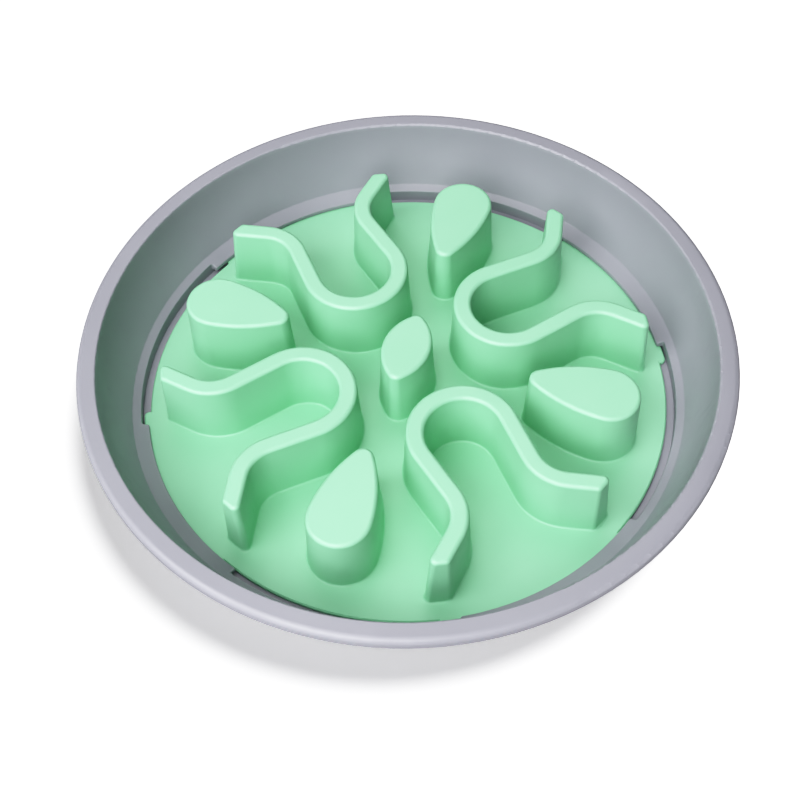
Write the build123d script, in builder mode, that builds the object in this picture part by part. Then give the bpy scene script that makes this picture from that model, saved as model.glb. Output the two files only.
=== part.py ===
"""Slow feeder bowl: a round bowl with a maze insert that twists under four lips.

Millimetres, +Z up. The origin lies on the bowl's axis, on the surface that the feet stand on.
The maze repeats four times: one serpentine wall lies on +Y, one teardrop post halfway to +X.
"""

import os
from math import radians, sqrt, tan

from build123d import *

os.makedirs("parts", exist_ok=True)

# Bowl: rim and wall
rim_diameter = 280.0
rim_width = 8.4
rim_thickness = 3.0
rim_drop = 4.8
rim_edge_radius = 2.8
rim_skirt_thickness = 2.4
rim_inner_edge_radius = 1.0
wall_thickness = 3.0
wall_run = 9.6
wall_bow = 1.6
rim_above_maze = 6.0

# Bowl: floor, shelf at the foot of the wall, ring foot
base_thickness = 3.0
shelf_width = 3.5
shelf_rise = 3.0
shelf_radius = 1.5
ring_height = 4.5
ring_thickness = 3.4

# Twist lock: lips on the bowl, tabs on the insert
lock_count = 4
lip_reach = 3.0
lip_edge = 1.8
lip_span = 42.5
lip_corner_radius = 0.9
lip_edge_radius = 0.6
tab_span = 43.0
tab_corner_radius = 2.2
lock_turn = 4.0
tab_side_clearance = 0.6
lip_side_clearance = 0.5
lip_clearance = 0.4
seat_clearance = 0.3

# Maze insert: plate and the common sizes of what stands on it
plate_thickness = 2.0
plate_chamfer = 0.6
maze_height = 30.0
draft = 2.5
top_edge_radius = 1.8
base_edge_radius = 1.0
shell_wall = 2.2
roof_thickness = 2.6

# Serpentine wall, seen from above: a loop towards the centre and two arms that flare outwards
wall_width = 7.6
loop_gap = 26.4
loop_radius = 20.0
arm_lean = 5.0
arm_length = 21.5
flare_radius = 18.0
flare_angle = 55.0
wall_end_inset = 9.3
wall_end_edge_radius = 2.4

# Teardrop post, along its own radius from the centre outwards
drop_tail_distance = 59.0
drop_tail_radius = 4.6
drop_length = 29.2
drop_head_radius = 13.4
drop_edge_gap = 13.4
drop_side_radius = 65.0

# Leaf-shaped centre post
leaf_length = 36.0
leaf_tip_radius = 4.0
leaf_side_radius = 22.3
leaf_turn = 45.0

# Rubber feet
foot_count = 4
foot_inset = 21.0
foot_stand = 1.5
pad_radius = 9.0
pad_thickness = 2.5
pad_chamfer = 0.6
stem_radius = 4.5
stem_length = 3.5
stem_clearance = 0.1
socket_end_clearance = 0.3
boss_wall = 2.5

# Heights above the surface, from the feet up
base_under = foot_stand + ring_height
base_top = base_under + base_thickness
plate_under = base_top + seat_clearance
plate_top = plate_under + plate_thickness
maze_top = plate_top + maze_height
rim_top = maze_top + rim_above_maze
lip_under = plate_top + lip_clearance
lip_top = lip_under + lip_edge
shelf_top = lip_top + shelf_rise

# Radii
rim_radius = rim_diameter / 2
rim_inner_radius = rim_radius - rim_width
wall_foot_radius = rim_inner_radius - wall_run
seat_radius = wall_foot_radius - shelf_width
lip_radius = seat_radius - lip_reach
plate_radius = lip_radius - lip_side_clearance
tab_radius = seat_radius - tab_side_clearance
wall_end_radius = plate_radius - wall_end_inset

# Plan of the maze, and the scale that fits it to the plate along a teardrop post's radius
loop_distance = loop_gap + wall_width / 2 + loop_radius
drop_head_distance = drop_tail_distance + drop_length
fit = plate_radius / (drop_head_distance + drop_head_radius + drop_edge_gap)

# Slopes; the wall's outside follows its inside
wall_lean = wall_run / (rim_top - shelf_top)
shelf_slope = shelf_rise / (shelf_width + lip_reach)
wall_across = wall_thickness * sqrt(1 + wall_lean**2)
lock_pitch = 360 / lock_count
overshoot = rim_radius


def wall_outside(height):
    """Outer radius of the bowl's wall at a height, before the wall's bow."""
    return rim_inner_radius - (rim_top - height) * wall_lean + wall_across


ring_radius = wall_outside(foot_stand) - ring_thickness
foot_circle_radius = ring_radius - foot_inset


def is_upright(edge):
    """True for an edge that rises more than it runs sideways."""
    size = edge.bounding_box().size
    return size.Z > max(size.X, size.Y)


def reach(edge):
    """Distance from the bowl's axis to the farther end of an edge."""
    return max(Vector(end.X, end.Y).length for end in edge.vertices())


def ring_sector(inner_radius, outer_radius, span):
    """Face: part of a flat ring, spread evenly about the X axis."""
    with BuildSketch() as sector:
        with BuildLine():
            outer_arc = CenterArc((0, 0), outer_radius, -span / 2, span)
            inner_arc = CenterArc((0, 0), inner_radius, -span / 2, span)
            Line(outer_arc @ 0, inner_arc @ 0)
            Line(outer_arc @ 1, inner_arc @ 1)
        make_face()
    return sector.sketch


def lock_opening():
    """Face: the hole between the lips, seen from above, with its corners rounded."""
    with BuildSketch() as plan:
        Circle(seat_radius)
        with PolarLocations(0, lock_count, start_angle=lock_turn):
            add(ring_sector(lip_radius, rim_radius, lip_span), mode=Mode.SUBTRACT)
        fillet(plan.vertices(), lip_corner_radius)
    return plan.sketch


def serpentine(growth):
    """Face: plan of the wall on +Y at its top, widened all round by a growth."""
    with BuildSketch() as plan:
        with BuildLine():
            loop = CenterArc((0, loop_distance), loop_radius, 180 - arm_lean, 180 + 2 * arm_lean)
            arm = PolarLine(loop @ 1, arm_length, direction=loop % 1)
            flare = JernArc(arm @ 1, arm % 1, flare_radius, -(arm_lean + flare_angle))
            PolarLine(flare @ 1, overshoot, direction=flare % 1)
            mirror(about=Plane.YZ)
            offset(amount=wall_width / 2 + growth / fit, side=Side.BOTH, mode=Mode.REPLACE)
        make_face()
        scale(by=fit)
        Circle(wall_end_radius + growth, mode=Mode.INTERSECT)
    return plan.sketch


def pod(tail_centre, tail_radius, head_centre, head_radius, side_radius, growth):
    """Face: two round ends on the X axis and bowed sides tangent to both, widened by a growth."""
    centre_gap = head_centre - tail_centre
    to_head = side_radius - head_radius
    to_tail = side_radius - tail_radius
    along = (to_tail**2 - to_head**2 + centre_gap**2) / (2 * centre_gap)
    side_centre = Vector(tail_centre + along, sqrt(to_tail**2 - along**2))
    grown = growth / fit
    side_reach = side_radius + grown
    tail_tangent = side_centre + (Vector(tail_centre, 0) - side_centre).normalized() * side_reach
    head_tangent = side_centre + (Vector(head_centre, 0) - side_centre).normalized() * side_reach
    with BuildSketch() as plan:
        with BuildLine():
            side = RadiusArc(tail_tangent, head_tangent, -side_reach)
            far_side = mirror(side, about=Plane.XZ)
            ThreePointArc(side @ 1, (head_centre + head_radius + grown, 0), far_side @ 1)
            ThreePointArc(far_side @ 0, (tail_centre - tail_radius - grown, 0), side @ 0)
        make_face()
        scale(by=fit)
    return plan.sketch


def teardrop(growth):
    """Face: plan of a teardrop post at its top, on the X axis with its tip towards the centre."""
    return pod(
        drop_tail_distance,
        drop_tail_radius,
        drop_head_distance,
        drop_head_radius,
        drop_side_radius,
        growth,
    )


def leaf(growth):
    """Face: plan of the centre post at its top, along the X axis."""
    tip_distance = leaf_length / 2 - leaf_tip_radius
    return pod(-tip_distance, leaf_tip_radius, tip_distance, leaf_tip_radius, leaf_side_radius, growth)


# Growth of each plan from the top of the maze down, by the draft, and the hollow's share of it
foot_growth = maze_height * tan(radians(draft))
hollow_height = plate_thickness + maze_height - roof_thickness
hollow_growth = (maze_height + plate_thickness) * tan(radians(draft)) - shell_wall


def raised(plan):
    """Solid: a wall or post on the plate, drafted, with its top edge and wall ends rounded."""
    with BuildPart() as body:
        with BuildSketch(Plane.XY.offset(plate_top)):
            add(plan(foot_growth))
        extrude(amount=maze_height, taper=draft)
        wall_ends = body.edges().filter_by(is_upright).filter_by(lambda edge: reach(edge) > wall_end_radius)
        if wall_ends:
            fillet(wall_ends, wall_end_edge_radius)
        fillet(body.faces().sort_by(Axis.Z)[-1].edges(), top_edge_radius)
    return body.part


def hollow(plan):
    """Solid: the space inside a wall or post, open below."""
    with BuildPart() as body:
        with BuildSketch(Plane.XY.offset(plate_under)):
            add(plan(hollow_growth))
        extrude(amount=hollow_height, taper=draft)
    return body.part


# Bowl: one turned section, gaps cut through the lip, sockets under the base
with BuildPart() as bowl:
    with BuildSketch(Plane.XZ) as section:
        with BuildLine():
            seat = Polyline(
                (0, base_top),
                (seat_radius, base_top),
                (seat_radius, lip_under),
                (lip_radius - lip_reach, lip_under),
                (lip_radius - lip_reach, lip_top - shelf_slope * lip_reach),
                (wall_foot_radius, shelf_top),
            )
            rim = Polyline(
                (rim_inner_radius, rim_top),
                (rim_radius, rim_top),
                (rim_radius, rim_top - rim_drop),
                (rim_radius - rim_skirt_thickness, rim_top - rim_drop),
                (rim_radius - rim_skirt_thickness, rim_top - rim_thickness),
                (wall_outside(rim_top - rim_thickness), rim_top - rim_thickness),
            )
            underside = Polyline(
                (wall_outside(foot_stand), foot_stand),
                (ring_radius, foot_stand),
                (ring_radius, base_under),
                (0, base_under),
                (0, base_top),
            )
            SagittaArc(seat @ 1, rim @ 0, -wall_bow)
            SagittaArc(underside @ 0, rim @ 1, -wall_bow)
        make_face()
        fillet(section.vertices().sort_by_distance((wall_foot_radius, shelf_top))[0], shelf_radius)
        fillet(section.vertices().sort_by_distance((rim_inner_radius, rim_top))[0], rim_inner_edge_radius)
        fillet(section.vertices().sort_by_distance((rim_radius, rim_top))[0], rim_edge_radius)
    revolve(axis=Axis.Z)
    with BuildSketch(Plane.XY.offset(lip_under)):
        add(lock_opening())
    extrude(amount=rim_top - lip_under, mode=Mode.SUBTRACT)
    above_lips = bowl.edges().filter_by_position(Axis.Z, lip_top - lip_edge / 2, shelf_top)
    lip_outline = above_lips.filter_by(lambda edge: reach(edge) < seat_radius + lip_edge_radius)
    fillet(lip_outline.filter_by(lambda edge: not is_upright(edge)), lip_edge_radius)
    with BuildSketch(Plane.XY.offset(pad_thickness)):
        with PolarLocations(foot_circle_radius, foot_count, start_angle=lock_pitch / 2):
            Circle(stem_radius + stem_clearance + boss_wall)
    extrude(amount=base_under - pad_thickness)
    with BuildSketch(Plane.XY.offset(pad_thickness)):
        with PolarLocations(foot_circle_radius, foot_count, start_angle=lock_pitch / 2):
            Circle(stem_radius + stem_clearance)
    extrude(amount=stem_length + socket_end_clearance, mode=Mode.SUBTRACT)
bowl.part.label = "bowl"
export_step(bowl.part, "parts/bowl.step")

# Maze insert: plate with tabs, four walls, four posts and the centre post, all hollow from below
with BuildPart() as maze_insert:
    with BuildSketch(Plane.XY.offset(plate_under)) as plate:
        Circle(plate_radius)
        with PolarLocations(0, lock_count):
            add(ring_sector(wall_end_radius, tab_radius, tab_span))
        corners = plate.vertices().filter_by(lambda v: Vector(v).length > (plate_radius + tab_radius) / 2)
        fillet(corners, tab_corner_radius)
    extrude(amount=plate_thickness)
    chamfer(maze_insert.faces().sort_by(Axis.Z)[-1].edges(), plate_chamfer)
    with PolarLocations(0, lock_count):
        add(raised(serpentine))
    with PolarLocations(0, lock_count, start_angle=lock_pitch / 2):
        add(raised(teardrop))
    with Locations(Rotation(0, 0, leaf_turn)):
        add(raised(leaf))
    base_edges = maze_insert.edges().filter_by_position(Axis.Z, plate_top, plate_top)
    fillet(base_edges.filter_by(lambda edge: reach(edge) < plate_radius - wall_end_inset / 2), base_edge_radius)
    with PolarLocations(0, lock_count):
        add(hollow(serpentine), mode=Mode.SUBTRACT)
    with PolarLocations(0, lock_count, start_angle=lock_pitch / 2):
        add(hollow(teardrop), mode=Mode.SUBTRACT)
    with Locations(Rotation(0, 0, leaf_turn)):
        add(hollow(leaf), mode=Mode.SUBTRACT)
maze_insert.part.label = "maze_insert"
export_step(maze_insert.part, "parts/maze_insert.step")

# Rubber feet: a pad with a stem that is pushed into its socket
with BuildPart() as foot:
    with BuildSketch():
        Circle(pad_radius)
    extrude(amount=pad_thickness)
    chamfer(foot.faces().sort_by(Axis.Z)[0].edges(), pad_chamfer)
    with BuildSketch(Plane.XY.offset(pad_thickness)):
        Circle(stem_radius)
    extrude(amount=stem_length)

foot_places = PolarLocations(foot_circle_radius, foot_count, start_angle=lock_pitch / 2)
for number, place in enumerate(foot_places.locations, start=1):
    placed_foot = place * foot.part
    placed_foot.label = f"foot_{number}"
    export_step(placed_foot, f"parts/foot_{number}.step")
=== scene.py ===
"""Looks of the slow feeder bowl: smooth shading, plastics and rubber, floor, studio light, camera.

Metres, +Z up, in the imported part's own frame.
"""

from math import cos, exp, radians, sin

import bpy
from mathutils import Matrix, Vector


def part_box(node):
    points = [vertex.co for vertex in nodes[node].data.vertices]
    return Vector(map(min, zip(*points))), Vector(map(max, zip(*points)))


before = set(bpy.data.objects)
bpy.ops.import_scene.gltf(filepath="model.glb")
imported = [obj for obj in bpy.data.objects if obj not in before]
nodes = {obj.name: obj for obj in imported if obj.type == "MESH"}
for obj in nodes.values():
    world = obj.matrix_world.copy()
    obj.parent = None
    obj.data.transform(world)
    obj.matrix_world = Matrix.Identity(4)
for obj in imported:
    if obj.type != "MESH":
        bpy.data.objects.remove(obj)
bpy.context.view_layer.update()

# Camera: bearing, elevation and roll in degrees; the target lies at the height of the maze's tops
CAMERA_AZIMUTH = -25.7
CAMERA_ELEVATION = 54.67
CAMERA_ROLL = -2.11
CAMERA_DISTANCE = 0.5072
CAMERA_TARGET = (-0.0157, -0.0242, 0.0413)
FOCAL_PIXELS = 1220.6
IMAGE_PIXELS = 800
SENSOR_WIDTH = 36.0

# Smooth shading: an edge stays sharp where its two faces meet at more than this angle
SHARP_ANGLE = 35.0
WELD_DISTANCE = 0.00001
NORMAL_WEIGHT = 50

# Heights of the rounded upper edges, which hands and muzzles rub and where a highlight is painted
MAZE_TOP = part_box("maze_insert")[1].z
RIM_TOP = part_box("bowl")[1].z
FOOT_TOP = 0.0025

# Plastics and rubber, in linear colours
# Each material's pale edge colour is partly wear and partly a painted highlight on its rounded
# upper edges
MATERIALS = {
    "grey_plastic": dict(
        colour=(0.299, 0.299, 0.339),
        shade=(0.285, 0.285, 0.324),
        worn_and_highlight=(0.37, 0.37, 0.415),
        roughness=0.40,
        specular=0.5,
        edge_top=RIM_TOP,
        edge_height=0.0028,
        grain_scale=1700,
        grain_depth=0.00006,
    ),
    "mint_plastic": dict(
        colour=(0.308, 0.645, 0.42),
        shade=(0.292, 0.622, 0.403),
        worn_and_highlight=(0.39, 0.71, 0.505),
        roughness=0.40,
        specular=0.5,
        edge_top=MAZE_TOP,
        edge_height=0.0018,
        grain_scale=2100,
        grain_depth=0.00004,
    ),
    "foot_rubber": dict(
        colour=(0.030, 0.030, 0.033),
        shade=(0.020, 0.020, 0.022),
        worn_and_highlight=(0.075, 0.075, 0.08),
        roughness=0.78,
        specular=0.4,
        edge_top=FOOT_TOP,
        edge_height=0.0010,
        grain_scale=1100,
        grain_depth=0.00012,
    ),
}
MATERIAL_OF = {"bowl": "grey_plastic", "maze_insert": "mint_plastic"}
OTHER_MATERIAL = "foot_rubber"

# Cloudy tone of a moulding
CLOUDS = dict(scale=16, detail=4)
CLOUD_RANGE = (0.35, 0.65)

# Paler rounded edges, partly wear and partly a painted highlight: the mark is full from this share
# of the edge's height below its top
FULL_WEAR_AND_HIGHLIGHT_SHARE = 1 / 3
LEVEL_TO_TILTED = (0.985, 0.80)
RUBBING = dict(scale=90, detail=3)
RUBBING_RANGE = (0.30, 0.70)
RUBBING_LEAST = 0.4
WEAR_AND_HIGHLIGHT_TINT = 0.4
WEAR_POLISH = 0.05

# Scuffs, in two directions
SCUFFS_ALONG = dict(scale=260, detail=3, stretch=(1, 0.06, 0.3))
SCUFFS_ACROSS = dict(scale=260, detail=3, stretch=(0.06, 1, 0.3))
SCUFF_RANGE = (0.62, 0.74)
SCUFF_ROUGHNESS = 0.07
SCUFF_BUMP = 0.08

# Uneven gloss and mould grain
GLOSS = dict(scale=55, detail=4)
GLOSS_RANGE = (0.3, 0.7)
GLOSS_SPREAD = 0.05
GRAIN_DETAIL = 2
GRAIN_BUMP = 0.25

# Floor of pale matt paper
FLOOR_RADIUS = 4.0
FLOOR_SIDES = 96
FLOOR = (0.86, 0.86, 0.86)
FLOOR_DIM = 0.985
FLOOR_GLOW = 0.70
FLOOR_ROUGHNESS = 0.9
FLOOR_SPECULAR = 0.1
PAPER = dict(scale=6, detail=3)
PAPER_RANGE = (0.3, 0.7)

# Studio lights; a bearing counts from straight beyond the bowl towards the right of the picture
LIGHTS = {
    "key_softbox": dict(bearing=-122, elevation=43, distance=1.3, size=1.0, power=18.4),
    "high_softbox": dict(bearing=-120, elevation=65, distance=1.3, size=0.8, power=2.0),
    "low_softbox": dict(bearing=-155, elevation=25, distance=1.3, size=0.8, power=8.0),
    "front_softbox": dict(bearing=-172, elevation=42, distance=1.3, size=0.7, power=11.0),
    "back_softbox": dict(bearing=0, elevation=60, distance=1.3, size=0.9, power=6.5),
    "right_softbox": dict(bearing=120, elevation=50, distance=1.3, size=0.6, power=1.5),
    "top_softbox": dict(bearing=-150, elevation=82, distance=1.3, size=0.5, power=6.0),
}
FLOOR_LIGHT = dict(bearing=105, elevation=74.5, distance=6.4, size=1.7, power=735.0)
SKY_STRENGTH = 0.07
BACKDROP_STRENGTH = 1.8
WHITE = (1, 1, 1, 1)

# Camera response: contrast in the shadows, and the light that comes out white
TONE_POWER = 1.5
TONE_WHITE = 2.0
TONE_STEPS = 16

# Sockets of the colour Mix node, and the curve that holds for all three colours
MIX_FIRST = 6
MIX_SECOND = 7
MIX_RESULT = 2
COMBINED_CURVE = 3


def smooth_shading(obj):
    """Joins the faces and shades them smoothly across small angles, with flat faces kept flat."""
    weld = obj.modifiers.new("weld", "WELD")
    weld.merge_threshold = WELD_DISTANCE
    split = obj.modifiers.new("sharp_edges", "EDGE_SPLIT")
    split.split_angle = radians(SHARP_ANGLE)
    split.use_edge_sharp = False
    normals = obj.modifiers.new("normals", "WEIGHTED_NORMAL")
    normals.mode = "FACE_AREA_WITH_ANGLE"
    normals.weight = NORMAL_WEIGHT


class Nodes:
    """Short ways to add and link the nodes of one material."""

    def __init__(self, name):
        self.material = bpy.data.materials.new(name)
        self.material.use_nodes = True
        self.tree = self.material.node_tree
        self.shader = self.tree.nodes["Principled BSDF"]
        self.place = self.add("TexCoord")

    def add(self, kind, **values):
        node = self.tree.nodes.new("ShaderNode" + kind)
        for name, value in values.items():
            setattr(node, name, value)
        return node

    def link(self, source, target):
        self.tree.links.new(source, target)

    def noise(self, scale, detail, stretch=(1, 1, 1)):
        """Noise in object space, from 0 to 1, with this many features per metre."""
        mapping = self.add("Mapping")
        mapping.inputs["Scale"].default_value = stretch
        self.link(self.place.outputs["Object"], mapping.inputs["Vector"])
        noise = self.add("TexNoise")
        noise.inputs["Scale"].default_value = scale
        noise.inputs["Detail"].default_value = detail
        self.link(mapping.outputs["Vector"], noise.inputs["Vector"])
        return noise.outputs["Fac"]

    def remap(self, value, source, target=(0, 1)):
        """Smooth step from the source range to the target range."""
        remap = self.add("MapRange", interpolation_type="SMOOTHSTEP")
        names = ("From Min", "From Max", "To Min", "To Max")
        for name, number in zip(names, (*source, *target)):
            remap.inputs[name].default_value = number
        self.link(value, remap.inputs["Value"])
        return remap.outputs["Result"]

    def math(self, operation, first, second):
        math = self.add("Math", operation=operation)
        for socket, value in zip(math.inputs, (first, second)):
            if isinstance(value, (int, float)):
                socket.default_value = value
            else:
                self.link(value, socket)
        return math.outputs["Value"]

    def mix(self, factor, first, second):
        """Colour between two others; the first may be a colour or a node's output."""
        mix = self.add("Mix", data_type="RGBA")
        self.link(factor, mix.inputs["Factor"])
        if isinstance(first, tuple):
            mix.inputs[MIX_FIRST].default_value = (*first, 1)
        else:
            self.link(first, mix.inputs[MIX_FIRST])
        mix.inputs[MIX_SECOND].default_value = (*second, 1)
        return mix.outputs[MIX_RESULT]

    def bump(self, height, strength, distance, normal=None):
        bump = self.add("Bump")
        bump.inputs["Strength"].default_value = strength
        bump.inputs["Distance"].default_value = distance
        self.link(height, bump.inputs["Height"])
        if normal is not None:
            self.link(normal, bump.inputs["Normal"])
        return bump.outputs["Normal"]


def moulded(
    name,
    colour,
    shade,
    worn_and_highlight,
    roughness,
    specular,
    edge_top,
    edge_height,
    grain_scale,
    grain_depth,
):
    """Moulded plastic or rubber.

    It has a cloudy tone, fine mould grain, faint scuffs, and smoother rounded edges with a paler
    colour that is partly wear and partly a painted highlight.
    """
    graph = Nodes(name)
    graph.shader.inputs["Specular IOR Level"].default_value = specular
    clouds = graph.noise(**CLOUDS)
    tone = graph.remap(clouds, CLOUD_RANGE)

    # Rounded upper edges, for wear and a painted highlight: near the top, and neither level nor
    # upright
    height = graph.add("SeparateXYZ")
    graph.link(graph.place.outputs["Object"], height.inputs["Vector"])
    facing = graph.add("SeparateXYZ")
    graph.link(graph.place.outputs["Normal"], facing.inputs["Vector"])
    wear_and_highlight_heights = (edge_top - edge_height, edge_top - edge_height * FULL_WEAR_AND_HIGHLIGHT_SHARE)
    near_top = graph.remap(height.outputs["Z"], wear_and_highlight_heights)
    tilted = graph.remap(facing.outputs["Z"], LEVEL_TO_TILTED)
    rubbed = graph.remap(graph.noise(**RUBBING), RUBBING_RANGE, (RUBBING_LEAST, 1))
    wear_and_highlight = graph.math("MULTIPLY", graph.math("MULTIPLY", near_top, tilted), rubbed)

    base = graph.mix(tone, shade, colour)
    # Paler colour on the rounded upper edges: partly wear, partly a painted highlight
    base = graph.mix(graph.math("MULTIPLY", wear_and_highlight, WEAR_AND_HIGHLIGHT_TINT), base, worn_and_highlight)
    graph.link(base, graph.shader.inputs["Base Color"])

    # Faint scuffs across the surface, in two directions
    scuffs_along = graph.remap(graph.noise(**SCUFFS_ALONG), SCUFF_RANGE)
    scuffs_across = graph.remap(graph.noise(**SCUFFS_ACROSS), SCUFF_RANGE)
    scuffs = graph.math("MAXIMUM", scuffs_along, scuffs_across)
    spread = (roughness - GLOSS_SPREAD, roughness + GLOSS_SPREAD)
    gloss = graph.remap(graph.noise(**GLOSS), GLOSS_RANGE, spread)
    gloss = graph.math("ADD", gloss, graph.math("MULTIPLY", scuffs, SCUFF_ROUGHNESS))
    gloss = graph.math("SUBTRACT", gloss, graph.math("MULTIPLY", wear_and_highlight, WEAR_POLISH))
    graph.link(gloss, graph.shader.inputs["Roughness"])

    grain = graph.noise(grain_scale, GRAIN_DETAIL)
    normal = graph.bump(grain, GRAIN_BUMP, grain_depth)
    normal = graph.bump(scuffs, SCUFF_BUMP, grain_depth, normal)
    graph.link(normal, graph.shader.inputs["Normal"])
    return graph.material


def floor_material():
    """Pale matt paper with a faint unevenness."""
    graph = Nodes("studio_floor")
    graph.shader.inputs["Roughness"].default_value = FLOOR_ROUGHNESS
    graph.shader.inputs["Specular IOR Level"].default_value = FLOOR_SPECULAR
    graph.shader.inputs["Emission Color"].default_value = WHITE
    graph.shader.inputs["Emission Strength"].default_value = FLOOR_GLOW
    tone = graph.remap(graph.noise(**PAPER), PAPER_RANGE)
    dim = tuple(FLOOR_DIM * part for part in FLOOR)
    graph.link(graph.mix(tone, dim, FLOOR), graph.shader.inputs["Base Color"])
    return graph.material


def direction(bearing, elevation):
    """Unit vector from the bowl, its bearing counted from beyond the bowl towards the right."""
    turn = radians(CAMERA_AZIMUTH)
    away = Vector((-sin(turn), cos(turn), 0))
    right = Vector((cos(turn), sin(turn), 0))
    level = away * cos(radians(bearing)) + right * sin(radians(bearing))
    return level * cos(radians(elevation)) + Vector((0, 0, 1)) * sin(radians(elevation))


def softbox(name, bearing, elevation, distance, size, power):
    """Round soft light that faces the bowl."""
    data = bpy.data.lights.new(name, "AREA")
    data.shape = "DISK"
    data.size = size
    data.energy = power
    light = bpy.data.objects.new(name, data)
    bpy.context.scene.collection.objects.link(light)
    towards = direction(bearing, elevation)
    light.location = towards * distance
    light.rotation_euler = towards.to_track_quat("Z", "Y").to_euler()
    return light


def photo_camera():
    """Camera of the photograph, from its target, bearing, elevation, roll and focal length."""
    back = -direction(0, -CAMERA_ELEVATION)
    level_right = direction(90, 0)
    level_up = back.cross(level_right)
    roll = radians(CAMERA_ROLL)
    right = level_right * cos(roll) + level_up * sin(roll)
    up = level_up * cos(roll) - level_right * sin(roll)
    data = bpy.data.cameras.new("photo_camera")
    data.sensor_width = SENSOR_WIDTH
    data.lens = SENSOR_WIDTH * FOCAL_PIXELS / IMAGE_PIXELS
    camera = bpy.data.objects.new("photo_camera", data)
    bpy.context.scene.collection.objects.link(camera)
    turn = Matrix((right, up, back)).transposed().to_4x4()
    place = Vector(CAMERA_TARGET) + back * CAMERA_DISTANCE
    camera.matrix_world = Matrix.Translation(place) @ turn
    bpy.context.scene.camera = camera


def tone_response(light):
    """Output for an amount of light, without its final scaling."""
    return 1 - exp(-(light**TONE_POWER))


def camera_response():
    """Contrast of the photograph: deeper shadows and softly bounded highlights."""
    view = bpy.context.scene.view_settings
    view.view_transform = "Standard"
    view.use_curve_mapping = True
    mapping = view.curve_mapping
    mapping.white_level = (TONE_WHITE, TONE_WHITE, TONE_WHITE)
    curve = mapping.curves[COMBINED_CURVE]
    for step in range(1, TONE_STEPS):
        place = (step / TONE_STEPS) ** 2
        curve.points.new(place, tone_response(place * TONE_WHITE) / tone_response(TONE_WHITE))
    mapping.update()


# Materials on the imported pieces
materials = {name: moulded(name, **values) for name, values in MATERIALS.items()}
for name, piece in nodes.items():
    smooth_shading(piece)
    piece.data.materials.clear()
    piece.data.materials.append(materials[MATERIAL_OF.get(name, OTHER_MATERIAL)])

# Floor, which isn't mirrored in the rim's edge
bpy.ops.mesh.primitive_circle_add(
    vertices=FLOOR_SIDES, radius=FLOOR_RADIUS, fill_type="NGON", location=(0, 0, 0)
)
floor = bpy.context.object
floor.name = "studio_floor"
floor.data.materials.append(floor_material())
floor.visible_glossy = False

# Light: the studio lights leave out the floor, which has a light of its own
beside_floor = bpy.data.collections.new("all_but_floor")
beside_floor.objects.link(floor)
beside_floor.collection_objects[0].light_linking.link_state = "EXCLUDE"
floor_alone = bpy.data.collections.new("floor_alone")
floor_alone.objects.link(floor)
for name, values in LIGHTS.items():
    softbox(name, **values).light_linking.receiver_collection = beside_floor
softbox("floor_softbox", **FLOOR_LIGHT).light_linking.receiver_collection = floor_alone

# Sky: a faint fill light, and a pale backdrop where it is seen itself
world = bpy.data.worlds.new("studio")
world.use_nodes = True
tree = world.node_tree
sky = tree.nodes["Background"]
backdrop = tree.nodes.new("ShaderNodeBackground")
for background, strength in ((sky, SKY_STRENGTH), (backdrop, BACKDROP_STRENGTH)):
    background.inputs["Color"].default_value = WHITE
    background.inputs["Strength"].default_value = strength
seen = tree.nodes.new("ShaderNodeLightPath")
either = tree.nodes.new("ShaderNodeMixShader")
tree.links.new(seen.outputs["Is Camera Ray"], either.inputs[0])
tree.links.new(sky.outputs[0], either.inputs[1])
tree.links.new(backdrop.outputs[0], either.inputs[2])
tree.links.new(either.outputs[0], tree.nodes["World Output"].inputs["Surface"])
bpy.context.scene.world = world

camera_response()
photo_camera()
